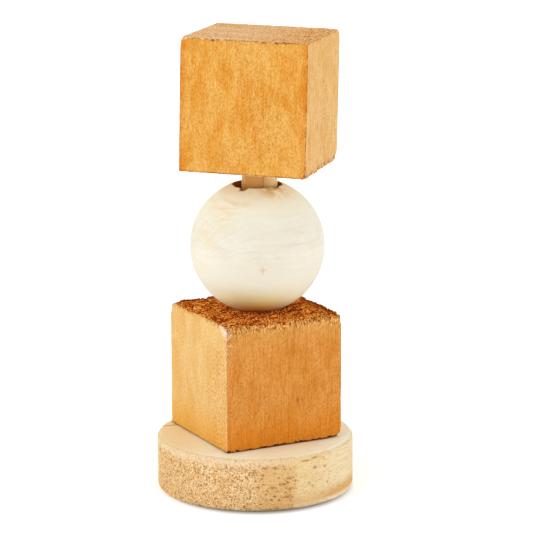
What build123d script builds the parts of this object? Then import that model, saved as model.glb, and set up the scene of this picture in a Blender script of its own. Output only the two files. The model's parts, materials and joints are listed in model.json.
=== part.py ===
from build123d import *
import os
from math import radians, sqrt, tan

# A stacked wooden tower: a square block, a ball and a second square block on one round peg that
# stands in a turned base. Both loose pieces turn on the peg, and the upper block, glued to the
# peg's end, keeps them on it.
#
# Frame: millimetres, +Z up, +Y to the back, origin at the centre of the base's underside.

# Stock sizes
PEG_DIAMETER = 12.0
BALL_DIAMETER = 45.0
BASE_DIAMETER = 66.0
BASE_THICKNESS = 18.0
BLOCK_SIDE = 43.0
LOWER_BLOCK_HEIGHT = 43.0
UPPER_BLOCK_HEIGHT = 44.0

# The peg's place: its foot is in the base's socket, and the socket is drilled a little out of square
PEG_FOOT = (-0.35, 0.6, 6.0)
PEG_LEAN_RIGHT = 1.3
PEG_LEAN_BACK = 0.5
PEG_LENGTH = 121.0

# Holes: the loose pieces have one large through bore, the glued ones a socket
LOOSE_BORE_DIAMETER = 16.0
GLUE_GAP = 0.05
DRILL_POINT_ANGLE = 118.0
SOCKET_SPARE_DEPTH = 0.6
REST_GAP = 0.02

# Where the pieces have come to rest
LOWER_BLOCK_CENTRE = (0.2, 1.8)
LOWER_BLOCK_TURN = 27.0
BALL_CENTRE = (1.05, 1.5)
UPPER_BLOCK_ABOVE_FOOT = 102.9
UPPER_BLOCK_OFF_PEG = -0.25
UPPER_BLOCK_TURN = -15.4

# Eased edges
BASE_EDGE = 0.8
BLOCK_EDGE = 0.6
BALL_RIM = 0.4
PEG_CHAMFER = 0.8

PEG_FRAME = Location(PEG_FOOT, (-PEG_LEAN_BACK, PEG_LEAN_RIGHT, 0))
UP = (Align.CENTER, Align.CENTER, Align.MIN)


def drill_point(diameter):
    """The cone that a twist drill leaves at the end of a hole, pointing up from z = 0."""
    height = diameter / 2 / tan(radians(DRILL_POINT_ANGLE / 2))
    return Cone(diameter / 2, 0, height, align=UP)


def base_disc():
    """The round base, with a blind socket for the peg's foot."""
    disc = Cylinder(BASE_DIAMETER / 2, BASE_THICKNESS, align=UP)
    disc = fillet(disc.edges().filter_by(GeomType.CIRCLE), BASE_EDGE)
    hole_diameter = PEG_DIAMETER + 2 * GLUE_GAP
    hole = Cylinder(hole_diameter / 2, BASE_THICKNESS, align=UP)
    hole += Rot(180, 0, 0) * drill_point(hole_diameter)
    return disc - PEG_FRAME * hole


def centre_peg():
    """The dowel, standing on its socket's shoulder, with both ends chamfered."""
    peg = Cylinder(PEG_DIAMETER / 2, PEG_LENGTH, align=UP)
    return PEG_FRAME * chamfer(peg.edges().filter_by(GeomType.CIRCLE), PEG_CHAMFER)


def square_block(height):
    """A length of the square stock with eased edges, standing on z = 0."""
    block = Box(BLOCK_SIDE, BLOCK_SIDE, height, align=UP)
    return fillet(block.edges(), BLOCK_EDGE)


def lower_block():
    """The loose block, bored right through, standing on the base."""
    bore = Cylinder(LOOSE_BORE_DIAMETER / 2, LOWER_BLOCK_HEIGHT, align=UP)
    place = Pos(*LOWER_BLOCK_CENTRE, BASE_THICKNESS + REST_GAP)
    return place * Rot(0, 0, LOWER_BLOCK_TURN) * (square_block(LOWER_BLOCK_HEIGHT) - bore)


def ball():
    """The loose ball, bored right through, standing on its bore's rim on the lower block."""
    radius = BALL_DIAMETER / 2
    bore_radius = LOOSE_BORE_DIAMETER / 2
    half_bore = sqrt(radius**2 - bore_radius**2)
    wall = Line((bore_radius, -half_bore), (bore_radius, half_bore))
    outside = ThreePointArc((bore_radius, half_bore), (radius, 0), (bore_radius, -half_bore))
    section = make_face(wall + outside)
    section = Plane.XZ * fillet(section.vertices(), BALL_RIM)
    turned = revolve(section, Axis.Z)
    block_top = BASE_THICKNESS + REST_GAP + LOWER_BLOCK_HEIGHT
    lowest = turned.bounding_box().min.Z
    return Pos(*BALL_CENTRE, block_top + REST_GAP - lowest) * turned


def upper_block():
    """The top block, square to the leaning peg, with a blind socket for the peg's upper end."""
    hole_diameter = PEG_DIAMETER + 2 * GLUE_GAP
    hole_end = PEG_LENGTH + SOCKET_SPARE_DEPTH
    hole = Cylinder(hole_diameter / 2, hole_end, align=UP)
    hole += Pos(0, 0, hole_end) * drill_point(hole_diameter)
    place = Pos(UPPER_BLOCK_OFF_PEG, 0, UPPER_BLOCK_ABOVE_FOOT) * Rot(0, 0, UPPER_BLOCK_TURN)
    return PEG_FRAME * (place * square_block(UPPER_BLOCK_HEIGHT) - hole)


PIECES = {
    "base_disc": base_disc,
    "centre_peg": centre_peg,
    "lower_block": lower_block,
    "ball": ball,
    "upper_block": upper_block,
}

os.makedirs("parts", exist_ok=True)
for name, build in PIECES.items():
    piece = build()
    export_step(piece, f"parts/{name}.step")
    box = piece.bounding_box()
    print(name, round(piece.volume, 1), box.min, box.max)
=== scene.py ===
import bpy
import functools
import itertools
import json
import math
import numpy as np
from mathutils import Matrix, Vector

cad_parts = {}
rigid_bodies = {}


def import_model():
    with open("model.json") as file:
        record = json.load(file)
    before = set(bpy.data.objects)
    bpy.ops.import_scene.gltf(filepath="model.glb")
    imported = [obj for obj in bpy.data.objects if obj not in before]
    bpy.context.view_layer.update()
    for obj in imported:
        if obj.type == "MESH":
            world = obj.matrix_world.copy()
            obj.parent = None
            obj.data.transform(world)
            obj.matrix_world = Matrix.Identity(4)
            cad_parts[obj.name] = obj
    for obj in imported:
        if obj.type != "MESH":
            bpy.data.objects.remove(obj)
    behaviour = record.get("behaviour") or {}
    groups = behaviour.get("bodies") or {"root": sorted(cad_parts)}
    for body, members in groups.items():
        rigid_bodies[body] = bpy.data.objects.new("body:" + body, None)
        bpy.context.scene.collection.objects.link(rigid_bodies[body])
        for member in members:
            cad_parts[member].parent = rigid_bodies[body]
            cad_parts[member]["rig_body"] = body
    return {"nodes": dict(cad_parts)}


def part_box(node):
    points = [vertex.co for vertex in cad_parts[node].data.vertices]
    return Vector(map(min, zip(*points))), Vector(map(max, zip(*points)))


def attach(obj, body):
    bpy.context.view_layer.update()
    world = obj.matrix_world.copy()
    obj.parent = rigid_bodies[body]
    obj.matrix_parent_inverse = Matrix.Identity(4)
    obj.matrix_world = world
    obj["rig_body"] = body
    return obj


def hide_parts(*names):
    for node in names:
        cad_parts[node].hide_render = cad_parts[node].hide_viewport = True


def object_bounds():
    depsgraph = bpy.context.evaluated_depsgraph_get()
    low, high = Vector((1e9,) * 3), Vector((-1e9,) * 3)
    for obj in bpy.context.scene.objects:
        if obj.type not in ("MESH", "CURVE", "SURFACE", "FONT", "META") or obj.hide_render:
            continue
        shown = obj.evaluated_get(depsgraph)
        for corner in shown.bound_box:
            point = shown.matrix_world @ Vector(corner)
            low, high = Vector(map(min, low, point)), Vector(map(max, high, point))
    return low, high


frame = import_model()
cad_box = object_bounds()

# A wooden tower: a round base, a torn block, a turned ball and a second block on one peg.
# Shapes are worked out in millimetres, in each piece's own frame with its centre at the origin,
# and set into the part's frame, in metres, at the end. A wood's grain runs along its own z, except
# in the base, where it runs along the piece's x once that is turned by BASE_GRAIN_TURN.
#
# Each piece is a fine skin whose points are moved in and out. It carries marks, numbers at its
# points that are mostly from 0 to 1, such as how torn or how pitted it is. The woods read them.

MM = 0.001

# A distance too small to see, in millimetres
TINY = 0.01

# The sizes, turns and leans that the CAD has: millimetres and degrees
BLOCK_SIDE = 43.0
UPPER_BLOCK_HEIGHT = 44.0
UPPER_SOCKET_DEPTH = 18.7
LOWER_BLOCK_TURN = 27.0
UPPER_BLOCK_TURN = -15.4
PEG_RADIUS = 6.0
PEG_LENGTH = 121.0
PEG_BEVEL = 0.8
PEG_LEAN_RIGHT = 1.3
PEG_LEAN_BACK = 0.5
BASE_SOCKET_DEPTH = 12.0
SOCKET_RADIUS = 6.05
LOOSE_BORE_RADIUS = 8.0

# Where the lower block's front begins, towards its -y, and where it has fully begun
LOWER_FRONT = (17, 20.5)

# A loose fibre: how thick it is and how deep its root lies in the block, in millimetres
SPLINTER_RADIUS = 0.17
SPLINTER_ROOT = 0.3

# The chips in the rim of the ball's bore: direction and half width in degrees, depth in millimetres
BALL_CHIPS = ((240, 12, 1.3), (222, 20, 0.3), (350, 14, 0.3), (318, 16, 0.4))

# Small dents: a place along the surface from its middle, a height, and half of each size, in
# millimetres. The base's lie round its rim to the right of the front.
BASE_DENTS = ((1.0, -0.7, 0.7, 0.35), (2.6, 3.5, 0.5, 0.45), (3.4, 5.7, 0.8, 0.3),
              (5.8, -1, 0.9, 0.35), (6.6, 5.7, 0.9, 0.35), (9.6, 0, 0.8, 0.4),
              (10.7, -4.5, 1.3, 0.3), (11.6, 1.9, 1.2, 0.35), (11.6, -1.7, 1.0, 0.3),
              (17.6, 7.1, 1.3, 0.3), (18.8, -0.7, 0.4, 0.35), (20.2, -1.9, 0.4, 0.35),
              (21.1, 7.6, 1.2, 0.3), (21.3, 4.2, 0.8, 0.5), (25.5, 3.9, 0.7, 0.3),
              (26.8, -1.9, 0.35, 0.35))
BLOCK_DENTS = ((4.8, -6.6, 0.3, 0.9), (6.6, -6.6, 0.3, 0.6), (-12.4, 1.3, 0.3, 0.4),
               (17.5, -5.6, 0.3, 0.4))

# Patches of other colour on the sides of a piece, given like the dents
UPPER_BLOCK_PATCHES = ((2, 9, 5, 13), (10, -7, 7, 11), (-3, -17, 9, 5))
BALL_PATCHES = ((-11.7, 14, 4, 4.5), (-16.5, 5.5, 2, 5), (-6, 16.5, 4, 1.2))

# The small cross on the ball: the way to it from the ball's middle, about one long
BALL_BLEMISH = np.array([0.08, -0.98, -0.165])

# The thin crack in the base's top: the x and y of a point on it, and its slope
BASE_CRACK = (-28.4, 7.3, 0.3)

# The grain of the base runs this way across its top, in degrees from +X
BASE_GRAIN_TURN = -118.0

# The drying check down the peg: its direction in degrees, and how far it wanders
PEG_CHECK = -79
PEG_CHECK_WANDER = 1.6

# The camera: its place and its lens in millimetres, how far it looks down and rolls in degrees
CAMERA_PLACE = (4.05, -837.3, 264.1)
CAMERA_LENS = 174.1
CAMERA_SENSOR = 36.0
CAMERA_DOWN = 12.733
CAMERA_ROLL = -0.212

# The soft lights: place and size in metres, power in watts. The sky is white all round
KEY_LIGHT = ((-1.2, -0.45, 0.75), 0.9, 5.0)
FILL_LIGHT = ((1.2, -0.35, 0.6), 1.0, 3.0)
SKY_STRENGTH = 0.78

# The floor: half its width in metres, its colour, and its glow near the tower and away from it
FLOOR_REACH = 6.0
FLOOR_COLOUR = (0.86, 0.86, 0.88, 1)
FLOOR_GLOW = (0.36, 0.6)
FLOOR_GLOW_SPREAD = (40, 120)

# The dark place on the floor round the base, in millimetres: its centre, how much faster it fades
# along x, from where to where it fades, and how much light is left in it
# This shadow is painted into the floor's colour and glow
SHADOW_CENTRE = (0.9, -2.4, 0)
SHADOW_SHAPE = (1.045, 1, 1)
SHADOW_EDGE = (29.5, 35.2)
SHADOW_LIGHT = 0.25


# ------------------------ numbers

def rise(x, low, high):
    """A smooth step, 0 below low and 1 above high."""
    t = np.clip((x - low) / (high - low), 0, 1)
    return t * t * (3 - 2 * t)


# Large primes that scramble a cell's three numbers, a seed, and the result of both
CELL_PRIMES = np.array([73856093, 19349663, 83492791])
SEED_PRIME = 2654435761
MIXING_PRIMES = ((15, 2246822519), (13, 3266489917))

# Brings noise made of these slopes to about -1 to 1
NOISE_GAIN = 1.5


def hashed(cells, seed):
    """A repeatable direction, three numbers from -1 to 1, for each whole-number cell."""
    mixed = (cells * CELL_PRIMES).sum(-1) + seed * SEED_PRIME
    found = []
    for _ in range(3):
        for shift, prime in MIXING_PRIMES:
            mixed = (mixed ^ (mixed >> shift)) * prime & 0xFFFFFFFF
        found.append((mixed & 0xFFFF) / 32767.5 - 1)
    return np.stack(found, -1)


def noise(points, size, seed):
    """Smooth noise, about -1 to 1, with bumps of that size. A size may be one number or three."""
    scaled = points / np.asarray(size, float)
    cell = np.floor(scaled).astype(np.int64)
    part = scaled - cell
    weight = part**3 * (part * (part * 6 - 15) + 10)
    total = 0
    for corner in itertools.product((0, 1), repeat=3):
        corner = np.array(corner)
        slope = ((part - corner) * hashed(cell + corner, seed)).sum(-1)
        total = total + slope * np.where(corner, weight, 1 - weight).prod(-1)
    return total * NOISE_GAIN


def fractal(points, size, seed, octaves=3):
    """Noise with finer and finer bumps added, each half as large and half as strong."""
    size = np.asarray(size, float)
    return sum(noise(points, size / 2**k, seed + k) / 2**k for k in range(octaves))


def turn(axis, degrees):
    """A rotation matrix about one of the axes 0, 1 or 2."""
    c, s = math.cos(math.radians(degrees)), math.sin(math.radians(degrees))
    a, b = (axis + 1) % 3, (axis + 2) % 3
    matrix = np.eye(3)
    matrix[a, a] = matrix[b, b] = c
    matrix[a, b], matrix[b, a] = -s, s
    return matrix


def unit(vectors):
    """The same directions, one long. A vector of no length stays as it is."""
    return vectors / np.maximum(np.linalg.norm(vectors, axis=1, keepdims=True), 1e-9)


PEG_TURN = turn(0, -PEG_LEAN_BACK) @ turn(1, PEG_LEAN_RIGHT)


def node_box(node):
    """A CAD node's centre and size, in millimetres."""
    low, high = (np.array(corner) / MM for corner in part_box(node))
    return (low + high) / 2, high - low


# ------------------------ skins

def spaced(count, closeness=0.45):
    """count + 1 places from 0 to 1, closer together near both ends."""
    t = np.linspace(0, 1, count + 1)
    return t - closeness * np.sin(2 * np.pi * t) / (2 * np.pi)


def square_loop(side, count):
    """The points round a square, count to a side, anticlockwise from its -x, -y corner."""
    along = (spaced(count)[:-1] - 0.5) * side
    edge = np.full(count, side / 2)
    runs = [(along, -edge), (edge, along), (-along, edge), (-edge, -along)]
    return np.concatenate([np.column_stack(run) for run in runs])


def circle_loop(radius, count):
    """The points round a circle, anticlockwise."""
    angle = np.linspace(0, 2 * np.pi, count, endpoint=False)
    return np.column_stack([np.cos(angle), np.sin(angle)]) * radius


def level(outline, z):
    """A flat outline, set at a height."""
    return np.column_stack([outline, np.full(len(outline), z)])


def stitched(loops, closed=False, start_fan=False, end_fan=False):
    """Joins loops of equally many points with quads, and closes the ends with fans if asked."""
    rows, around = len(loops), len(loops[0])
    points = np.concatenate(loops)
    i = np.arange(rows if closed else rows - 1)[:, None]
    j = np.arange(around)[None]
    below, beside = (i + 1) % rows, (j + 1) % around
    corners = [i * around + j, below * around + j, below * around + beside, i * around + beside]
    faces = np.stack(np.broadcast_arrays(*corners), -1).reshape(-1, 4).tolist()
    ring = np.arange(around)
    if start_fan:
        faces += [(len(points), a, b) for a, b in zip(ring, np.roll(ring, -1))]
        points = np.vstack([points, loops[0].mean(0)])
    if end_fan:
        last = (rows - 1) * around + ring
        faces += [(len(points), b, a) for a, b in zip(last, np.roll(last, -1))]
        points = np.vstack([points, loops[-1].mean(0)])
    return points, faces


def capped_square(points, faces, count):
    """Closes a square first loop, count points to a side, with a grid of quads facing up."""
    ring = np.arange(count)
    index = np.zeros((count + 1, count + 1), int)
    index[:-1, 0], index[-1, :-1] = ring, count + ring
    index[1:, -1][::-1], index[0, 1:][::-1] = 2 * count + ring, 3 * count + ring
    index[1:-1, 1:-1] = len(points) + np.arange((count - 1) ** 2).reshape(count - 1, -1)
    xs = points[index[1:-1, 0], 0]
    x, y = np.meshgrid(xs, xs, indexing="ij")
    inside = np.column_stack([x.ravel(), y.ravel(), np.full(x.size, points[0, 2])])
    corners = [index[:-1, :-1], index[1:, :-1], index[1:, 1:], index[:-1, 1:]]
    faces = faces + np.stack(corners, -1).reshape(-1, 4).tolist()
    return np.vstack([points, inside]), faces


def block_skin(height, bore_radius, bore_depth):
    """A block with sharp edges, bored from below, right through if the bore is as deep as it."""
    count, side_rows, low_rows, bore_rows, high_rows = 104, 104, 14, 20, 52
    square = square_loop(BLOCK_SIDE, count)
    circle = unit(square) * bore_radius
    half = height / 2
    loops = [level(square, half - height * t) for t in spaced(side_rows)]
    loops += [level(square + (circle - square) * t, -half) for t in spaced(low_rows)[1:]]
    loops += [level(circle, -half + bore_depth * t) for t in np.linspace(0, 1, bore_rows)[1:]]
    if bore_depth < height:
        return capped_square(*stitched(loops, end_fan=True), count)
    loops += [level(circle + (square - circle) * t, half) for t in spaced(high_rows)[1:-1]]
    return stitched(loops, closed=True)


def eased(points, half, radius):
    """Rounds the edges of a box's surface to each point's own radius. Also gives the normals."""
    radius = np.asarray(radius)[:, None]
    core = np.clip(points, radius - half, half - radius)
    normal = unit(points - core)
    return core + normal * radius, normal


# A splinter's three long edges are set out at these angles, in radians, from a slanting direction.
# Its faces join the points where they start, 0 to 2, and its tip, 3.
ANY_WAY = (0.31, 0.52, 0.79)
THIRDS = (0, 2.1, 4.2)
SPLINTER_FACES = ((0, 2, 1), (0, 1, 3), (1, 2, 3), (2, 0, 3))


def splintered(points, faces, marks, normal, zones, lowest, seed):
    """Adds broken fibres to a skin: thin, closed, three-sided and pointed, each rooted in the skin.

    A zone has the points that may carry one, how many it has, how far they lean out and how far
    they reach up or down. No tip goes under the lowest height.
    """
    random = np.random.default_rng(seed)
    roots, tips = [], []
    for inside, count, lean, reach in zones:
        at = random.choice(np.flatnonzero(inside), count)
        share = 0.4 + 0.6 * random.random((count, 2))
        out = unit(level(normal[at, :2], 0))
        roots.append(points[at] - out * SPLINTER_ROOT)
        tips.append(points[at] + out * lean * share[:, :1] + [0, 0, reach] * share[:, 1:])
    roots = np.concatenate(roots)
    tips = np.maximum(np.concatenate(tips), [-np.inf, -np.inf, lowest])
    along = unit(tips - roots)
    across = unit(np.cross(along, ANY_WAY))
    other = np.cross(along, across)
    base = [roots + SPLINTER_RADIUS * (across * math.cos(a) + other * math.sin(a)) for a in THIRDS]
    first = len(points) + 4 * np.arange(len(roots))[:, None]
    sides = np.concatenate([first + corners for corners in SPLINTER_FACES])
    grown = {name: np.concatenate([values, np.zeros(4 * len(roots))]) for name, values in marks.items()}
    grown["splinter"] = np.concatenate([np.zeros(len(points)), np.repeat(random.random(len(roots)), 4)])
    points = np.vstack([points, np.stack([*base, tips], 1).reshape(-1, 3)])
    return points, faces + sides.tolist(), grown


# ------------------------ pieces

def rounded(sharp, half, radius, outside):
    """Rounds a block's outside edges, and leaves the points in its hole as they are."""
    points, normal = eased(sharp, half, radius)
    keep = outside[:, None]
    return np.where(keep, points, sharp), np.where(keep, normal, 0)


def facing(normal):
    """How far each point of a skin faces up, down and sideways, from 0 to 1."""
    up = rise(normal[:, 2], 0.2, 0.9)
    below = rise(-normal[:, 2], 0.2, 0.9)
    return up, below, 1 - up - below


def patches(points, spots):
    """How much of a patch each point is in, from spots with a place and a size along x and z."""
    return sum(np.exp(-((points[:, 0] - x) / wide) ** 2 - ((points[:, 2] - z) / high) ** 2)
               for x, z, wide, high in spots)


def lower_edge(sharp, half):
    """The radius of the lower block's edges, rolled over along the front of the top."""
    x, y, z = sharp.T
    on_flat = level(sharp[:, :2], 0)
    front = rise(-y, *LOWER_FRONT)
    right_corner = rise(x, 14, 20.5) * front
    left_corner = rise(-x, 16, 20.5) * rise(y, 16, 20.5)
    rolled = front * (0.5 + 0.4 * noise(on_flat, 5, 16)) + 0.7 * right_corner + 1.2 * left_corner
    worn = 0.65 + 0.25 * noise(sharp, 5, 14) + 0.3 * noise(sharp, 1.2, 15)
    foot = 1.3 * rise(-z, 17.5, 21.2) * right_corner
    radius = worn + rolled * rise(z, half[2] - 5, half[2] - 2.5) + foot
    return np.clip(radius, 0.3, 3.2)


def torn_top(points, sharp):
    """How deep the torn top is, how hollow it looks, and where it was sheared smooth.

    It has ridges, hollows and the marks of a saw that went across a corner, and is calmer at the
    back.
    """
    x, y = sharp[:, :2].T
    coarse = fractal(points, 2.6, 21, 2)
    fine = fractal(points, 0.85, 24, 2)
    saw_line = noise(points @ turn(2, 37), (8, 0.9, 8), 27)
    far = rise(np.maximum(x, y), 14, 19)
    torn = 0.36 + (0.24 * coarse + 0.42 * fine + 0.2 * saw_line) * (1 - 0.65 * far)
    sheared = 1 - rise(np.hypot((points[:, 0] + 16) / 2.2, (points[:, 1] + 1) / 4.2), 0.6, 1.1)
    torn = torn * (1 - 0.8 * sheared) + 0.5 * rise(np.hypot(x, y), 9, 21) + 0.15 * noise(points, 9, 28)
    # How hollow the torn top is; the wood paints shade into the hollows by it
    pit = np.clip(0.42 + (0.9 * fine + 0.5 * coarse + 0.6 * saw_line) * (1 - sheared), 0, 1)
    return torn, pit, sheared


def broken_fibres(sharp, half, front):
    """Where fibres broke out of the sides.

    Gives how ragged it is, the bites under the top, the frayed band there, and the bites at the foot.
    """
    on_flat = level(sharp[:, :2], 0)
    down = half[2] - sharp[:, 2]
    ragged = noise(on_flat, 1.1, 11) + 0.6 * noise(on_flat, 0.55, 12)
    reach = 0.5 + (0.3 + 0.5 * front) * noise(on_flat, 4, 13) + (1.5 + 0.3 * front) * ragged
    reach = reach + 1.6 * noise(on_flat, 2.2, 18) * (1 - front)
    reach = (1.3 + 1.5 * front) * np.clip(reach, 0.12, 2)
    bite = 1 - rise(down / reach, 0.35, 1.1)
    fray = 1 - rise(down / (1.7 + 2.2 * front + 1.5 * noise(on_flat, 1.6, 17)), 0.4, 1.3)
    foot_reach = 0.25 + 0.12 * front + (0.3 + 0.6 * front) * np.clip(ragged + 0.3, 0, 1)
    foot = 1 - rise((sharp[:, 2] + half[2]) / foot_reach, 0.5, 1.1)
    return ragged, bite, fray, foot


def lower_relief(points, sharp, half, facings):
    """How deep the lower block's surface lies under its box, and the marks that go with that."""
    up, below, side = facings
    x, y = sharp[:, :2].T
    front = rise(-y, *LOWER_FRONT)
    torn, pit, sheared = torn_top(points, sharp)
    ragged, bite, fray, foot = broken_fibres(sharp, half, front)
    bite = bite * side
    calm = rise(np.hypot(x, y), LOOSE_BORE_RADIUS + 0.4, LOOSE_BORE_RADIUS + 2.2)
    sawn = 0.07 + 0.05 * noise(points, (1.0, 1.0, 9), 29) + 0.05 * noise(points, (9, 9, 14), 30)
    dent = patches(points, BLOCK_DENTS) * front * side
    depth = up * torn * calm + side * sawn + below * 0.05
    depth = depth + bite * (0.2 + 0.6 * np.clip(0.5 + ragged, 0, 1)) + 0.6 * (foot * side) + 0.2 * dent
    return np.clip(depth, 0, 2), {
        "torn": np.clip(up + bite, 0, 1),
        "pit": pit,
        "sheared": sheared * up,
        "back": rise(np.maximum(x, y), 17.4, 20.8) * up,
        "fray": fray * side * (0.45 + 0.55 * front),
        # Painted shade along the foot of the sides
        "foot": foot * rise(np.maximum(np.abs(x), np.abs(y)), 20.3, 21) * (0.5 + 0.5 * front),
        "dent": dent,
    }


def lower_places(points, half, down):
    """The lower block's marks round the upright edge in front, and the top end of that edge."""
    in_x, in_y = half[0] + points[:, 0], half[1] + points[:, 1]
    from_corner = np.linalg.norm([3.4 * in_x, in_y, 1.2 * down], axis=0)
    return {
        "scuff": (1 - rise(in_x, 1, 4)) * (1 - rise(down, 5, 15)) * rise(-in_y, -1.2, -0.3),
        "arris": 1 - rise(np.hypot(in_x, in_y), 0.3, 1.2),
        "worn": 1 - rise(from_corner, 2.4, 6.4),
        "grainy": (1 - rise(in_y, 6, 17)) * (1 - rise(in_x, 1, 3)) * rise(down, 4, 14),
    }


def lower_block():
    """The loose block: torn end grain on top, with frayed edges round it."""
    centre, size = node_box("lower_block")
    half = np.array([BLOCK_SIDE, BLOCK_SIDE, size[2]]) / 2
    sharp, faces = block_skin(size[2], LOOSE_BORE_RADIUS, size[2])
    x, y, z = sharp.T
    outside = np.hypot(x, y) > LOOSE_BORE_RADIUS + TINY
    radius = np.where(outside, lower_edge(sharp, half), TINY)
    points, normal = rounded(sharp, half, radius, outside)
    up, below, side = facing(normal)
    depth, marks = lower_relief(points, sharp, half, (up, below, side))
    points = points - normal * (depth * outside)[:, None]

    down = half[2] - z
    marks.update(lower_places(points, half, down))
    marks["tone"] = rise(normal[:, 0] - normal[:, 1], -0.35, 0.35)
    marks["height"] = z / size[2] + 0.5
    may_fray = (side > 0.5) & outside & (radius < 1.7)
    zones = [
        (may_fray & (y < -20) & (down < 2.4), 420, 0.25, 0.8),
        (may_fray & (y > -20) & (down < 1.6), 200, 0.15, 0.4),
        (may_fray & (down > size[2] - 0.9), 260, 0.3, -0.8),
    ]
    points, faces, marks = splintered(points, faces, marks, normal, zones, 0.03 - half[2], 90)
    return place("lower_block", points, faces, turn(2, LOWER_BLOCK_TURN), centre, marks)


def upper_edge(sharp, half):
    """The radius of the upper block's edges, and where they are chipped or nicked.

    They are chipped under the right-hand face and nicked along the front of the top.
    """
    x, y, z = sharp.T
    on_flat = level(sharp[:, :2], 0)
    low_right = rise(x, 18.5, 21.0) * rise(-z, 19.0, 21.5)
    chip = np.clip(0.25 + 1.4 * noise(on_flat, 1.9, 41) + 0.7 * noise(on_flat, 0.7, 42), 0, 1)
    to_arris = np.hypot(half[1] + y, half[2] - z)
    nick = rise(noise(on_flat, (1.2, 9, 9), 46), 0.12, 0.3) * (1 - rise(to_arris, 0.3, 1.1))
    nick = nick * (1 - rise(x, 17, 19))
    corner = rise(z - x - y, 60.5, 64.5)
    far = rise(x + y + np.abs(z), 60.5, 64.5)
    radius = 0.5 + 0.15 * noise(sharp, 6, 43) + 0.15 * noise(sharp, 1.3, 44)
    radius = radius + 1.5 * chip * low_right + 0.5 * nick + 1.1 * corner + 1.6 * far
    return np.clip(radius, 0.3, 2.6), chip, low_right, nick


def upper_relief(points, from_axis, facings, broken_off, nick):
    """How deep the upper block's surface lies under its box, where it is pitted, and its pits.

    Its ends are sawn, with pits at the right-hand end of the top, and its sides are planed.
    """
    up, below, side = facings
    saw_line = noise(points, (30, 0.9, 30), 51)
    pitted = rise(points[:, 0], -4, 15)
    lowest = 0.5 - 0.42 * pitted
    pit = rise(fractal(points, (1.5, 0.9, 1.3), 52, 2), lowest, lowest + 0.12) * pitted * up
    sawn = 0.06 + 0.05 * saw_line + 0.08 * fractal(points, 0.7, 56, 2) + 0.3 * pit
    planed = 0.24 + 0.03 * noise(points, (1.0, 1.0, 6), 55) + 0.05 * noise(points, (10, 10, 16), 58)
    broken = 0.12 + 0.12 * fractal(points, 1.1, 59, 2)
    calm = rise(from_axis, SOCKET_RADIUS, SOCKET_RADIUS + 1)
    depth = up * sawn + side * planed + below * broken * calm
    return np.clip(depth + broken_off * side + 0.35 * nick, 0, 2), pitted, pit


def upper_places(points, half):
    """The upper block's marks that go by place: its edges and its patches."""
    to_side = np.abs(half[:2] - np.abs(points[:, :2]))
    to_end = half[2] - np.abs(points[:, 2])
    edge_line = 1 - rise(np.minimum(to_side.max(1), np.hypot(to_end, to_side.min(1))), 0.3, 0.75)
    return {
        "edge": 1 - rise(to_side.max(1), 0.5, 3.4),
        "patch": patches(points, UPPER_BLOCK_PATCHES),
        "line": edge_line * (1 - 0.8 * rise(points[:, 0], 19, 21) * (points[:, 2] > 19)),
    }


def upper_block():
    """The glued block: planed sides, a sawn top with a few pits, one ragged edge below."""
    centre = node_box("upper_block")[0]
    half = np.array([BLOCK_SIDE, BLOCK_SIDE, UPPER_BLOCK_HEIGHT]) / 2
    sharp, faces = block_skin(UPPER_BLOCK_HEIGHT, SOCKET_RADIUS, UPPER_SOCKET_DEPTH)
    x, y, z = sharp.T
    from_axis = np.hypot(x, y)
    outside = (from_axis > SOCKET_RADIUS + TINY) | (z > 0)
    radius, chip, low_right, nick = upper_edge(sharp, half)
    radius = np.where(outside, radius, TINY)
    points, normal = rounded(sharp, half, radius, outside)
    up, below, side = facing(normal)
    broken_off = 0.5 * low_right * chip
    depth, pitted, pit = upper_relief(points, from_axis, (up, below, side), broken_off, nick)
    points = points - normal * (depth * outside)[:, None]

    marks = {
        "end": np.clip(up + below, 0, 1),
        "pit": np.clip(pit + low_right * chip * 0.9 + nick, 0, 1),
        "pitted": pitted * up,
        "tone": rise(np.abs(normal[:, 0]) - np.abs(normal[:, 1]), -0.3, 0.3),
        "low_line": (1 - rise(points[:, 2] + half[2], 0.3, 0.9)) * side,
        **upper_places(points, half),
    }
    under = (below > 0.3) | (side > 0.5) & (z < 0.6 - half[2])
    zones = [
        (under & (x > 19.5) & (radius < 1.8), 40, 0.2, -0.8),
        (under & (y < -20.5), 20, 0.15, -0.3),
    ]
    points, faces, marks = splintered(points, faces, marks, normal, zones, -np.inf, 95)
    return place("upper_block", points, faces, PEG_TURN @ turn(2, UPPER_BLOCK_TURN), centre, marks)


def ball_skin(radius, wall):
    """A bored ball, whose bore reaches wall above and below the ball's middle."""
    around, wall_rows, bore_rows = 340, 160, 40
    rim_tilt = math.asin(LOOSE_BORE_RADIUS / radius)
    tilts = rim_tilt + spaced(wall_rows, 0.5) * (np.pi - 2 * rim_tilt)
    loops = [level(circle_loop(radius * np.sin(t), around), radius * np.cos(t)) for t in tilts]
    inside = -wall * np.cos(np.linspace(0, np.pi, bore_rows))[1:-1]
    loops += [level(circle_loop(LOOSE_BORE_RADIUS, around), z) for z in inside]
    return stitched(loops, closed=True)


def rim_chips(points, angle):
    """How deep the rims of the ball's bore are chipped in each direction, in millimetres."""
    ring = LOOSE_BORE_RADIUS * np.array([np.cos(angle), np.sin(angle)])
    on_ring = np.column_stack([*ring, np.sign(points[:, 2])])
    chipped = 0.35 + 0.15 * noise(on_ring, 1.5, 61)
    for where, width, deep in BALL_CHIPS:
        away = np.abs((np.degrees(angle) - where + 180) % 360 - 180)
        worn = (1 - rise(away, 0.3 * width, width)) * (0.85 + 0.3 * noise(on_ring, 0.8, 62))
        chipped = chipped + (points[:, 2] > 0) * deep * worn
    return chipped


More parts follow.
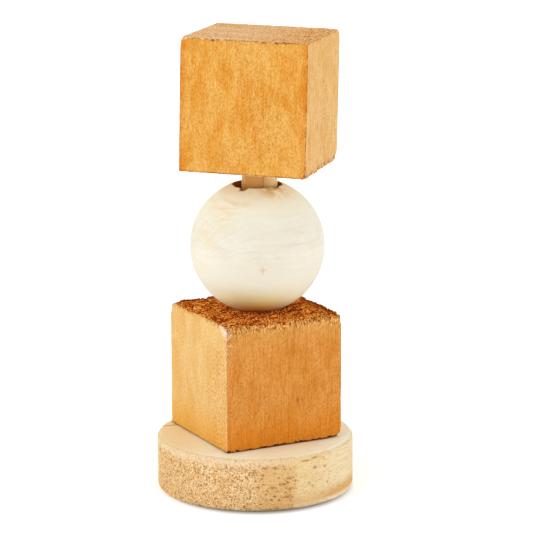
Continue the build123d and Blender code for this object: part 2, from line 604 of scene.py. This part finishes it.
def ball_marks(points, angle, radius):
    """The marks of the ball's outside. They are set by place alone, except its growth lines."""
    x, z = points[:, 0], points[:, 2]
    from_front = np.abs(np.degrees(angle) + 90)
    down = -z / radius
    return {
        # Painted light and shade: shade with orange bounce light low down and where the ball sits,
        # painted light on the lower sides, a darker lower half and a lighter upper half
        "low": rise(down, 0.34, 0.84) * (1 - rise(from_front, 5, 75)),
        "contact_shadow": rise(down, 0.68, 1.0) * (1 - rise(from_front, 0, 60)),
        "shade": rise(down, 0.5, 0.7) * np.maximum(rise(from_front, 25, 50), rise(-x, 2, 11)),
        "lower_half_shade": rise(down, 0.0, 0.3),
        "high": rise(-down, 0.15, 0.9),
        "ring": z + 0.035 * np.minimum(x, 2) ** 2 + 1.8 * noise(points, 9, 64),
        "wisp": rise(-x / radius, -0.4, 0.5) * rise(-down, 0.1, 0.5),
        "patch": patches(points, BALL_PATCHES),
        "blemish": blemish(points - radius * BALL_BLEMISH),
    }


def ball():
    """The turned ball, with a large bore whose top rim is chipped."""
    centre, size = node_box("ball")
    radius = size[0] / 2
    wall = radius * math.cos(math.asin(LOOSE_BORE_RADIUS / radius))
    points, faces = ball_skin(radius, wall)
    from_axis = np.hypot(points[:, 0], points[:, 1])
    bore = (from_axis < LOOSE_BORE_RADIUS + 1e-6) & (np.abs(points[:, 2]) < wall - 1e-6)
    angle = np.arctan2(points[:, 1], points[:, 0])
    upper = points[:, 2] > 0

    to_rim = np.hypot(from_axis - LOOSE_BORE_RADIUS, np.abs(points[:, 2]) - wall)
    chipped = rim_chips(points, angle)
    near = np.clip(1 - to_rim / (2.0 * chipped), 0, 1)
    inward = np.column_stack([np.cos(angle), np.sin(angle), -np.sign(points[:, 2])]) / np.sqrt(2)
    soft = 0.03 + 0.02 * noise(points, 7, 63)
    away = unit(points) * ~bore[:, None]
    marks = {
        # The chips and the inside of the bore are painted darker, as shade
        "chip": near * rise(chipped, 0.6, 1.2),
        "bore": bore * 1.0,
        "stain": rise(-to_rim, -8, -0.5) * upper * (1 - rise(np.abs(np.degrees(angle) + 52), 12, 42)),
        **ball_marks(points, angle, radius),
    }
    points = points - away * soft[:, None] + inward * (near**1.5 * chipped)[:, None]
    return place("ball", points, faces, np.eye(3), centre, marks)


def blemish(offset):
    """A small cross of fine dark lines, seen from the front, at the offset's origin."""
    x, y, z = np.abs(offset).T
    upright = np.exp(-(x / 0.3) ** 2) * (1 - rise(z, 0.5, 2.0))
    level_line = np.exp(-(z / 0.25) ** 2) * (1 - rise(x, 0.6, 1.8))
    return np.clip(upright + level_line, 0, 1) * (y < 5)


def base_skin(radius, half, centre):
    """The base with sharp edges and the peg's slanting socket in its top."""
    foot = node_box("centre_peg")[0] - centre - PEG_TURN @ np.array([0, 0, PEG_LENGTH / 2])
    mouth = foot + PEG_TURN @ np.array([0, 0, BASE_SOCKET_DEPTH])
    around, top_rows, side_rows, under_rows = 520, 50, 56, 24
    rim, hole = circle_loop(radius, around), circle_loop(SOCKET_RADIUS, around)
    inner = hole + mouth[:2]
    loops = [level(hole + foot[:2], foot[2]), level(inner, half)]
    loops += [level(inner + (rim - inner) * t, half) for t in spaced(top_rows)[1:]]
    loops += [level(rim, half - 2 * half * t) for t in spaced(side_rows)[1:]]
    loops += [level(rim * (1 - t), -half) for t in spaced(under_rows)[1:-1]]
    return stitched(loops, start_fan=True, end_fan=True)


def base_edges(sharp, radius, half, outside):
    """Rounds the base's rims.

    Gives the points, their normals, the way out from the axis, and how far the normals point out.
    """
    edge = 1.0 + 0.15 * noise(sharp, 7, 71) + 0.15 * noise(sharp, 1.4, 72) + 0.5 * (sharp[:, 2] > 0)
    flat = np.column_stack([np.hypot(sharp[:, 0], sharp[:, 1]), sharp[:, 2]])
    ring, ring_normal = eased(flat, np.array([radius, half]), np.where(outside, edge, TINY))
    away = unit(level(sharp[:, :2], 0))
    points = away * ring[:, :1] + [0, 0, 1] * ring[:, 1:]
    normal = away * ring_normal[:, :1] + [0, 0, 1] * ring_normal[:, 1:]
    keep = outside[:, None]
    return np.where(keep, points, sharp), np.where(keep, normal, 0), away, ring_normal[:, 0]


def base_places(points, top):
    """The base's marks that go by place alone: its crack, and how it changes from left to right."""
    x, y = points[:, :2].T
    off_crack = np.abs(y - BASE_CRACK[1] - BASE_CRACK[2] * (x - BASE_CRACK[0]))
    return {
        "crack": (1 - rise(off_crack, 0.3, 0.9)) * rise(-x, 20, 21) * top,
        "left": rise(-x, 14, 26),
        "right": rise(x, 16, 29),
        "calm": rise(x, -5, 8),
    }


def base_disc():
    """The round base: a smooth top, and a side that is pitted end grain on two of its quarters."""
    centre, size = node_box("base_disc")
    radius, half = size[0] / 2, size[2] / 2
    sharp, faces = base_skin(radius, half, centre)
    out = np.hypot(sharp[:, 0], sharp[:, 1])
    outside = (out > 2 * SOCKET_RADIUS) | (sharp[:, 2] < TINY - half)
    points, normal, away, outward = base_edges(sharp, radius, half, outside)
    top = normal[:, 2] > 0.9
    side = rise(outward, 0.2, 0.9) * outside

    # End grain shows where the grain runs out of the side
    grain_turn = turn(2, BASE_GRAIN_TURN)
    along = np.abs(away @ grain_turn[:, 0]) + 0.04 * noise(points, (1, 1, 0.6), 77)
    end = side * rise(along, 0.59, 0.66)
    down = half - points[:, 2]
    pale_rim = 1 - rise(down + 0.9 * noise(points, 3, 74), 0.8, 4.5)
    pit = rise(fractal(points, (0.9, 0.9, 0.6), 73, 2), 0.42, 0.8) * end * (1 - 0.8 * pale_rim)
    rough = 0.10 + 0.16 * fractal(points, 1.1, 76, 3) * (1 - 0.6 * pale_rim)
    fibres = noise(points, (14, 14, 0.7), 75)
    arc = radius * (np.arctan2(points[:, 1], points[:, 0]) + np.pi / 2)
    dent = np.clip(patches(np.column_stack([arc, arc, points[:, 2]]), BASE_DENTS), 0, 1) * side
    relief = 0.05 + 0.03 * fibres + end * rough + 0.35 * pit + 0.2 * dent
    smooth = 0.03 + 0.02 * noise(points, 8, 79)
    depth = np.where(top, smooth * rise(out, 14, 20), side * relief)
    points = points - normal * np.clip(depth, 0, 1)[:, None]
    marks = {
        "end": end,
        "pit": pit,
        "side": side,
        "pale_rim": pale_rim * side,
        "down": down / (2 * half),
        "dent": dent,
        **base_places(points, top),
    }
    return place("base_disc", points, faces, np.eye(3), centre, marks, grain_turn)


def centre_peg():
    """The dowel, with a fine drying check down its front."""
    centre = node_box("centre_peg")[0]
    half = PEG_LENGTH / 2
    around, rows = 160, 240
    sides = np.linspace(PEG_BEVEL - half, half - PEG_BEVEL, rows)
    places = np.concatenate([[-half], sides, [half]])[::-1]
    radii = np.where(np.abs(places) > half - 0.1, PEG_RADIUS - PEG_BEVEL, PEG_RADIUS)
    loops = [level(circle_loop(r, around), z) for r, z in zip(radii, places)]
    points, faces = stitched(loops, start_fan=True, end_fan=True)
    angle = np.degrees(np.arctan2(points[:, 1], points[:, 0]))
    wander = PEG_CHECK + PEG_CHECK_WANDER * noise(points * [0, 0, 1], 9, 81)
    check = 1 - rise(np.abs(angle - wander) * math.radians(PEG_RADIUS), 0.05, 0.25)
    fibre = noise(points, (0.9, 0.9, 14), 82)
    sided = np.abs(points[:, 2]) < half - PEG_BEVEL - 0.1
    depth = sided * (0.03 + 0.015 * fibre + 0.3 * check)
    points = points - points * [1, 1, 0] / PEG_RADIUS * depth[:, None]
    return place("centre_peg", points, faces, PEG_TURN, centre, {"check": check * sided})


def added(name, data):
    """A new object in the scene, made of that data."""
    made = bpy.data.objects.new(name, data)
    bpy.context.scene.collection.objects.link(made)
    return made


def place(node, points, faces, rotation, centre, marks, grain_turn=np.eye(3)):
    """Makes a mesh from a piece's own points, turned and set at its centre, to stand for its node."""
    mesh = bpy.data.meshes.new(node + "_wood")
    mesh.from_pydata(((points @ rotation.T + centre) * MM).tolist(), [], faces)
    mesh.shade_smooth()
    grain = mesh.attributes.new("grain", "FLOAT_VECTOR", "POINT")
    grain.data.foreach_set("vector", (points @ grain_turn).astype(np.float32).ravel())
    for name, values in marks.items():
        mark = mesh.attributes.new(name, "FLOAT", "POINT")
        mark.data.foreach_set("value", np.asarray(values, np.float32))
    piece = added(node + "_wood", mesh)
    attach(piece, frame["nodes"][node]["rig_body"])
    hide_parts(node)
    return piece


# ------------------------ materials

def rgb(red, green, blue):
    """A colour given in screen values from 0 to 255, as the linear values that nodes take."""
    linear = (((v / 255 + 0.055) / 1.055) ** 2.4 for v in (red, green, blue))
    return (*linear, 1)


class Tree:
    """One material's nodes. Each method adds a node and gives its output."""

    def __init__(self, name):
        self.material = bpy.data.materials.new(name)
        self.material.use_nodes = True
        self.nodes = self.material.node_tree.nodes
        self.links = self.material.node_tree.links

    @functools.cached_property
    def grain(self):
        """The place in the wood, in its own millimetres."""
        return self.mark("grain", "Vector")

    def feed(self, socket, value):
        """Links a socket to a node's output or to a mark, given by its name, or sets its value."""
        if isinstance(value, str):
            value = self.mark(value)
        if isinstance(value, bpy.types.NodeSocket):
            self.links.new(value, socket)
        else:
            socket.default_value = value

    def fill(self, node, inputs):
        """Feeds a node's inputs, each given by its name or its number."""
        for socket, value in inputs.items():
            self.feed(node.inputs[socket], value)

    def add(self, kind, inputs, output=0, **settings):
        """Adds a node of that kind, sets it up, and gives one of its outputs."""
        node = self.nodes.new("ShaderNode" + kind)
        for name, setting in settings.items():
            setattr(node, name, setting)
        self.fill(node, inputs)
        return node.outputs[output]

    def mark(self, name, output="Fac"):
        """One of the mesh's own marks."""
        return self.add("Attribute", {}, output, attribute_name=name)

    def maths(self, operation, a, b=0.0):
        """One sum on numbers."""
        return self.add("Math", {0: a, 1: b}, operation=operation)

    def both(self, a, b):
        """The product of two numbers, such as two shares."""
        return self.maths("MULTIPLY", a, b)

    def vector(self, operation, a, b):
        """One sum on vectors. It gives a number for a length or a dot product."""
        output = "Value" if operation in ("DOT_PRODUCT", "LENGTH") else "Vector"
        return self.add("VectorMath", {0: a, 1: b}, output, operation=operation)

    def noise(self, size, shift=0.0, detail=3.0, rough=0.5, warp=0.0):
        """Noise from 0 to 1 in the wood's own millimetres, with grains of that size along x, y, z."""
        size = (size,) * 3 if isinstance(size, (int, float)) else size
        scaled = self.vector("MULTIPLY", self.grain, tuple(1 / s for s in size))
        spot = self.vector("ADD", scaled, (shift, shift * 1.7, shift * 0.6))
        inputs = {"Vector": spot, "Scale": 1, "Detail": detail, "Roughness": rough, "Distortion": warp}
        return self.add("TexNoise", inputs, "Fac")

    def span(self, value, low, high, to_low=0.0, to_high=1.0):
        """Spreads the values from low to high smoothly over another range."""
        inputs = {0: value, 1: low, 2: high, 3: to_low, 4: to_high}
        return self.add("MapRange", inputs, interpolation_type="SMOOTHSTEP")

    def mix(self, share, a, b, blend="MIX"):
        """Mixes two colours. The node has its colours at inputs 6 and 7 and at output 2."""
        return self.add("Mix", {"Factor": share, 6: a, 7: b}, 2, data_type="RGBA", blend_type=blend)

    def paint(self, colour, tint, share, strength=None):
        """Mixes a tint, given in screen values, into a colour by a share or the product of two."""
        share = share if strength is None else self.both(share, strength)
        return self.mix(share, colour, rgb(*tint))

    def speckled(self, colour, pattern, dark, light, share=1.0, reach=0.14, middle=0.5):
        """Multiplies a colour by one tint where a pattern is over its middle, and by another under it."""
        over = self.both(self.span(pattern, middle, middle + reach), share)
        under = self.both(self.span(pattern, middle, middle - reach), share)
        colour = self.mix(over, colour, (*dark, 1), "MULTIPLY")
        return self.mix(under, colour, (*light, 1), "MULTIPLY")

    def finish(self, colour, roughness, height, depth, shine=0.05):
        """Ends the tree in a Principled surface with a bump whose relief is `depth` millimetres."""
        bump = self.add("Bump", {"Distance": depth * MM, "Height": height})
        self.fill(self.nodes["Principled BSDF"], {
            "Base Color": colour,
            "Roughness": roughness,
            "Specular IOR Level": shine,
            "Normal": bump,
        })
        return self.material


def lower_block_sides(t, dash):
    """Golden wood on two sides and deeper orange on the others, with a few pores and dents."""
    tone, height = t.mark("tone"), t.mark("height")
    fibre = t.noise((0.5, 0.5, 7), 2, 3, 0.6)
    cloud = t.noise((5, 5, 13), 3, 3, 0.55, 0.5)
    pale = t.mix(t.span(cloud, 0.30, 0.70), rgb(226, 187, 124), rgb(220, 172, 101))
    pale = t.paint(pale, (231, 165, 62), t.span(height, 0.35, 0.0, 0, 0.7))
    deep = t.mix(t.span(cloud, 0.30, 0.70), rgb(214, 147, 73), rgb(206, 132, 54))
    deep = t.paint(deep, (216, 130, 34), t.span(height, 0.4, 0.0, 0, 0.8))
    deep = t.paint(deep, (211, 156, 84), t.span(height, 0.7, 1.0, 0, 0.6))
    colour = t.mix(tone, pale, deep)
    share = t.span(tone, 0, 1, 0.45, 0.75)
    colour = t.speckled(colour, fibre, (0.89, 0.82, 0.68), (1.06, 1.09, 1.15), share)
    colour = t.speckled(colour, dash, (0.87, 0.80, 0.66), (1.08, 1.12, 1.24))
    pore = t.span(t.noise((0.5, 0.5, 0.9), 5, 2), 0.70, 0.74)
    colour = t.paint(colour, (120, 58, 20), pore, 0.7)
    grains = t.both(t.span(dash, 0.54, 0.60), "grainy")
    colour = t.paint(colour, (190, 108, 40), grains, 0.75)
    colour = t.paint(colour, (150, 70, 18), "dent", 0.8)
    # A painted highlight down the front upright edge
    return t.paint(colour, (235, 194, 141), "arris", t.span(tone, 0.3, 0.7, 0.3, 0.1))


def frayed(t, colour, tuft, slit):
    """Adds pale tufts and dark slits just under the tearing, and a scuff beside the front edge."""
    fray, scuff = t.mark("fray"), t.mark("scuff")
    colour = t.paint(colour, (150, 88, 44), scuff, t.span(tuft, 0.5, 0.4, 0, 0.5))
    colour = t.paint(colour, (246, 206, 160), scuff, t.span(tuft, 0.5, 0.6, 0, 0.5))
    colour = t.paint(colour, (248, 194, 112), fray, t.span(tuft, 0.47, 0.54, 0, 0.9))
    colour = t.paint(colour, (150, 72, 18), fray, t.span(tuft, 0.46, 0.39, 0, 0.85))
    return t.paint(colour, (112, 46, 10), fray, t.span(slit, 0.53, 0.57, 0, 0.8))


def torn_wood(t, speck):
    """Rust-brown torn end grain: dark gaps, painted shade in hollows, painted glints, a sheared smooth
    patch.
    """
    # Darker where the top is hollow: painted shade
    torn = t.mix(t.span("pit", 0.1, 0.9), rgb(242, 137, 48), rgb(174, 62, 8))
    torn = t.speckled(torn, speck, (0.30, 0.10, 0.025), (1.5, 2.55, 4.4), 1, 0.1)
    gap = t.span(t.noise((1.2, 0.8, 1.2), 10, 2), 0.58, 0.63)
    torn = t.paint(torn, (92, 26, 5), gap, 0.85)
    torn = t.paint(torn, (200, 118, 40), "sheared", 0.7)
    uneven = t.maths("SUBTRACT", 1, "sheared")
    # A few pale specks: painted glints
    painted_glint = t.both(t.span(t.noise(0.55, 9, 1), 0.73, 0.77), uneven)
    torn = t.paint(torn, (250, 202, 146), painted_glint, 0.85)
    return t.paint(torn, (120, 48, 12), "back", 0.75)


def lower_block_wood():
    """Orange wood, golden on two sides, with rust-brown torn end grain."""
    t = Tree("lower_block_wood")
    dash = t.noise((0.42, 0.42, 0.9), 1, 3, 0.6)
    tuft = t.noise((0.4, 0.4, 0.8), 7, 2, 0.6)
    slit = t.noise((0.4, 0.4, 1.7), 6, 2, 0.6)
    speck = t.noise(0.56, 8, 2, 0.65)
    colour = frayed(t, lower_block_sides(t, dash), tuft, slit)
    ragged = t.both(t.both("fray", t.maths("SUBTRACT", slit, 0.5)), 3.0)
    share = t.span(t.maths("ADD", "torn", ragged), 0.3, 0.7)
    colour = t.mix(share, colour, torn_wood(t, speck))

    # A pale rubbed corner, painted shade along the foot, and the loose fibres
    colour = t.paint(colour, (242, 216, 190), "worn", t.span(tuft, 0.35, 0.55, 0.8, 1.0))
    colour = t.paint(colour, (78, 28, 6), "foot", 0.9)
    shred = t.mix(t.span("splinter", 0.35, 0.75), rgb(174, 90, 28), rgb(250, 198, 114))
    colour = t.mix(t.span("splinter", 0.0, 0.1, 0, 0.85), colour, shred)
    rough = t.maths("ADD", 0.62, t.both("torn", 0.3))
    relief = t.maths("ADD", t.both(dash, 0.5), t.both(t.both(speck, "torn"), 2.5))
    return t.finish(colour, rough, relief, 0.18, 0.0)


def upper_block_sides(t, dash):
    """Mottled yellow-orange wood on two sides, and paler, pinker wood on the others."""
    streak = t.noise((0.55, 0.55, 6), 12, 3, 0.6)
    cloud = t.noise((6, 6, 12), 13, 3, 0.55, 0.6)
    bright = t.mix(t.span(cloud, 0.36, 0.64), rgb(224, 168, 83), rgb(216, 147, 56))
    bright = t.paint(bright, (223, 165, 84), "patch", t.span(streak, 0.3, 0.6, 0.65, 0.15))
    bright = t.paint(bright, (210, 122, 36), "edge", t.span(cloud, 0.3, 0.6, 0.3, 0.7))
    blush = t.mix(t.span(cloud, 0.36, 0.64), rgb(222, 180, 120), rgb(216, 171, 109))
    hairline = t.noise((0.35, 0.35, 5), 17, 2, 0.6)
    blush = t.speckled(blush, hairline, (0.91, 0.84, 0.69), (1.05, 1.08, 1.17))
    fleck = t.noise((1.5, 1.5, 2.6), 18, 2, 0.6)
    blush = t.speckled(blush, fleck, (0.95, 0.90, 0.80), (1.03, 1.05, 1.10))
    colour = t.mix("tone", bright, blush)
    colour = t.speckled(colour, streak, (0.95, 0.88, 0.70), (1.03, 1.06, 1.16))
    colour = t.speckled(colour, dash, (0.89, 0.79, 0.56), (1.06, 1.13, 1.42))
    pore = t.both(t.span(t.noise((0.4, 0.4, 0.6), 15, 2), 0.60, 0.66), "patch")
    return t.paint(colour, (150, 84, 28), pore, 0.6)


def upper_block_wood():
    """Yellow-orange wood, with tan end grain and brown lines along its worn edges."""
    t = Tree("upper_block_wood")
    dash = t.noise((0.36, 0.36, 0.75), 11, 1, 0.6)
    speck = t.noise(0.45, 14, 2, 0.65)
    saw_line = t.noise((30, 0.8, 30), 15, 2)
    end = t.mix(t.span(saw_line, 0.36, 0.64), rgb(250, 212, 160), rgb(240, 182, 118))
    end = t.paint(end, (255, 192, 116), "pitted", 0.7)
    end = t.speckled(end, speck, (0.42, 0.28, 0.17), (1.12, 1.17, 1.3), 1, 0.1, 0.52)
    colour = t.mix("end", upper_block_sides(t, dash), end)
    broken = t.span(t.noise((1.2, 1.2, 1.6), 16, 3), 0.4, 0.6)
    colour = t.paint(colour, (156, 82, 26), t.both("line", broken), 0.75)
    colour = t.paint(colour, (158, 84, 30), "low_line", t.span(broken, 0, 1, 0.5, 0.9))
    # Painted shade in the pits of the top, the chipped lower edge and the nicks
    colour = t.paint(colour, (130, 58, 14), "pit", 0.9)
    colour = t.paint(colour, (240, 192, 124), "splinter", 0.6)
    relief = t.maths("ADD", t.both(dash, 0.5), t.both(t.both(speck, "end"), 1.5))
    return t.finish(colour, 0.6, relief, 0.12, 0.0)


def ball_wood():
    """Pale sanded wood: faint wavy growth lines, tan wisps, a stain by the bore, painted light and shade.
    """
    t = Tree("ball_wood")
    wander = t.both(t.noise((14, 30, 9), 21, 2, 0.4), 1.6)
    part = t.maths("FRACT", t.maths("ADD", t.both("ring", 0.45), wander))
    line = t.both(t.span(part, 0.3, 0.92), t.span(part, 1.0, 0.94))
    streak = t.noise((9, 9, 1.6), 25, 3, 0.55, 0.6)
    cloud = t.noise((9, 9, 6), 23, 3)
    dash = t.noise((1.2, 1.2, 0.5), 22, 3, 0.6)
    colour = t.mix(t.span(cloud, 0.36, 0.64), rgb(228, 223, 208), rgb(225, 218, 199))
    colour = t.paint(colour, (228, 204, 158), line, t.span("wisp", 0, 1, 0.1, 0.42))
    colour = t.speckled(colour, streak, (0.975, 0.965, 0.935), (1.01, 1.015, 1.02))
    colour = t.speckled(colour, dash, (0.98, 0.97, 0.95), (1.01, 1.01, 1.02))
    tan = t.span(t.noise((6, 9, 1.3), 24, 3, 0.55, 0.6), 0.40, 0.62)
    # Painted light on the upper half
    colour = t.paint(colour, (238, 242, 226), "high", 0.9)
    colour = t.paint(colour, (232, 209, 156), t.both("patch", tan), 0.6)
    # Painted shade on the lower half
    colour = t.paint(colour, (222, 216, 196), "lower_half_shade", 0.8)
    smudge = t.span(t.noise((2.5, 2.5, 4), 26, 3, 0.5, 0.8), 0.4, 0.6)
    colour = t.paint(colour, (200, 164, 98), t.both("stain", smudge), 0.9)
    # Painted light on the lower sides, then painted shade with orange bounce light low down and where the
    # ball sits
    colour = t.paint(colour, (242, 236, 200), "shade", 0.9)
    colour = t.paint(colour, (211, 186, 105), "low")
    colour = t.paint(colour, (204, 104, 36), "contact_shadow")
    colour = t.paint(colour, (196, 156, 88), "blemish", 0.5)
    # Painted shade in the chips of the rim and inside the bore
    colour = t.paint(colour, (128, 70, 26), "chip", 0.8)
    colour = t.paint(colour, (150, 92, 44), "bore")
    return t.finish(colour, 0.7, t.maths("ADD", dash, line), 0.03)


def base_smooth(t, side, cloud, fibre):
    """The base's pale top and the smooth quarters of its side, with fine dark dashes there."""
    down, left, right = t.mark("down"), t.mark("left"), t.mark("right")
    top = t.mix(t.span(cloud, 0.36, 0.64), rgb(252, 243, 214), rgb(250, 238, 205))
    # Painted shade with orange bounce light on the left of the top, beside the block
    top = t.paint(top, (248, 226, 178), left)
    top = t.paint(top, (255, 254, 228), right)
    top = t.paint(top, (170, 112, 66), "crack", 0.6)
    band = t.noise((50, 6, 2.2), 32, 2)
    rim = t.mix(t.span(band, 0.42, 0.75), rgb(231, 205, 153), rgb(225, 192, 136))
    rim = t.paint(rim, (231, 210, 169), right, 0.9)
    more = t.span(right, 0, 1, 0.4, 1)
    rim = t.paint(rim, (214, 169, 106), t.span(down, 0.62, 0.86), more)
    rim = t.paint(rim, (250, 234, 200), t.span(down, 0.87, 0.93), t.both(more, 0.85))
    share = t.span(side, 0, 1, 0.25, 1)
    colour = t.mix(side, top, rim)
    colour = t.speckled(colour, fibre, (0.90, 0.84, 0.74), (1.04, 1.05, 1.08), share)
    dash = t.both(side, t.span(t.noise((2.0, 0.6, 0.4), 36, 2), 0.65, 0.70))
    return t.paint(colour, (190, 126, 58), dash, 0.5)


def base_end(t, speck):
    """The base's golden end grain, calmer to the right and paler near the top."""
    calm, pale_rim = t.mark("calm"), t.mark("pale_rim")
    blotch = t.noise((2.6, 2.6, 1.8), 34, 3)
    end = t.mix(t.span(blotch, 0.36, 0.64), rgb(234, 198, 143), rgb(225, 180, 118))
    end = t.paint(end, (224, 180, 112), calm, 0.6)
    end = t.paint(end, (220, 176, 112), "left", 0.5)
    end = t.paint(end, (242, 220, 182), pale_rim, 0.6)
    fade = t.both(t.span(calm, 0, 1, 1, 0.4), t.span(pale_rim, 0, 1, 1, 0.35))
    end = t.speckled(end, speck, (0.40, 0.22, 0.10), (1.18, 1.32, 1.65), fade, 0.13, 0.52)
    slot = t.both(t.span(t.noise((1.5, 1.5, 0.45), 38, 2), 0.60, 0.68), calm)
    return t.paint(end, (184, 112, 40), slot, 0.75)


def base_wood():
    """Pale tan wood, with golden pitted end grain round two quarters of its side."""
    t = Tree("base_wood")
    side, down = t.mark("side"), t.mark("down")
    cloud = t.noise(9, 35, 2)
    fibre = t.noise((8, 0.6, 0.5), 31, 3, 0.6)
    speck = t.noise(0.5, 33, 3, 0.65)
    colour = t.mix("end", base_smooth(t, side, cloud, fibre), base_end(t, speck))
    spot = t.both(side, t.span(t.noise((0.9, 0.7, 0.45), 37, 1), 0.71, 0.74))
    colour = t.paint(colour, (146, 72, 18), spot, 0.85)
    colour = t.paint(colour, (160, 84, 20), "dent", 0.9)
    low = t.both(t.span(down, 0.8, 0.9), t.span(down, 0.97, 0.93))
    low = t.both(low, t.span("end", 0, 1, 0.2, 0.3))
    colour = t.paint(colour, (216, 152, 78), low, t.span(cloud, 0.3, 0.6, 0.1, 0.45))
    # Painted shade in the pits of the end grain
    colour = t.paint(colour, (130, 78, 32), "pit", 0.8)
    relief = t.maths("ADD", t.both(t.both(fibre, side), 0.5), t.both(t.both(speck, "end"), 2.0))
    return t.finish(colour, 0.6, relief, 0.12)


def peg_wood():
    """Light tan dowel with straight fibres, darker down one side, and a fine check."""
    t = Tree("peg_wood")
    fibre = t.noise((0.45, 0.45, 9), 41, 3, 0.6)
    across = t.vector("DOT_PRODUCT", t.grain, (1, 0, 0))
    colour = t.mix(t.span(across, 0.3, 5.4), rgb(205, 156, 91), rgb(230, 208, 157))
    colour = t.paint(colour, (224, 184, 108), t.span(across, -4.2, -5.8))
    colour = t.speckled(colour, fibre, (0.97, 0.94, 0.90), (1.01, 1.02, 1.03))
    colour = t.paint(colour, (150, 92, 44), "check", 0.6)
    return t.finish(colour, 0.6, fibre, 0.06)


# ------------------------ room

def camera():
    """Stands well back and a little above the tower, on a long lens."""
    data = bpy.data.cameras.new("camera")
    data.sensor_width = CAMERA_SENSOR
    data.lens = CAMERA_LENS
    data.clip_end = 20.0
    seen = added("camera", data)
    seen.location = tuple(v * MM for v in CAMERA_PLACE)
    seen.rotation_euler = (math.radians(90 - CAMERA_DOWN), 0, 0)
    seen.rotation_euler.rotate_axis("Z", math.radians(CAMERA_ROLL))
    bpy.context.scene.camera = seen


def area_light(name, spot, size, power):
    """A square soft light that faces the middle of the tower."""
    data = bpy.data.lights.new(name, "AREA")
    data.size = size
    data.energy = power
    lamp = added(name, data)
    lamp.location = spot
    middle = (Vector(cad_box[0]) + Vector(cad_box[1])) / 2
    lamp.rotation_euler = (lamp.location - middle).to_track_quat("Z", "Y").to_euler()


def floor_light(t):
    """How much light the floor gives back round the base, and how strongly it glows."""
    spot = t.add("NewGeometry", {}, "Position")
    far = t.vector("LENGTH", spot, (0, 0, 0))
    offset = t.vector("SUBTRACT", spot, tuple(v * MM for v in SHADOW_CENTRE))
    to_shadow = t.vector("LENGTH", t.vector("MULTIPLY", offset, SHADOW_SHAPE), (0, 0, 0))
    lit = t.span(to_shadow, *(v * MM for v in SHADOW_EDGE), SHADOW_LIGHT, 1)
    return lit, t.both(lit, t.span(far, *(v * MM for v in FLOOR_GLOW_SPREAD), *FLOOR_GLOW))


def floor():
    """A wide white floor. It glows, more so away from the tower, and is darker close to the base."""
    reach = FLOOR_REACH
    corners = [(-reach, -reach, 0), (reach, -reach, 0), (reach, reach, 0), (-reach, reach, 0)]
    mesh = bpy.data.meshes.new("floor")
    mesh.from_pydata(corners, [], [(0, 1, 2, 3)])
    sheet = added("floor", mesh)
    t = Tree("floor")
    lit, glow = floor_light(t)
    t.fill(t.nodes["Principled BSDF"], {
        "Base Color": t.mix(lit, (0, 0, 0, 1), FLOOR_COLOUR),
        "Roughness": 0.9,
        "Specular IOR Level": 0.0,
        "Emission Color": (1, 1, 1, 1),
        "Emission Strength": glow,
    })
    mesh.materials.append(t.material)


def studio():
    """Even white light, a little stronger from the left."""
    world = bpy.data.worlds.new("studio")
    world.use_nodes = True
    sky = world.node_tree.nodes["Background"]
    sky.inputs["Color"].default_value = (1, 1, 1, 1)
    sky.inputs["Strength"].default_value = SKY_STRENGTH
    bpy.context.scene.world = world
    area_light("key", *KEY_LIGHT)
    area_light("fill", *FILL_LIGHT)
    bpy.context.scene.view_settings.view_transform = "Standard"


camera()
floor()
studio()
WOODS = {
    lower_block: lower_block_wood,
    upper_block: upper_block_wood,
    ball: ball_wood,
    base_disc: base_wood,
    centre_peg: peg_wood,
}
for build, wood in WOODS.items():
    build().data.materials.append(wood())
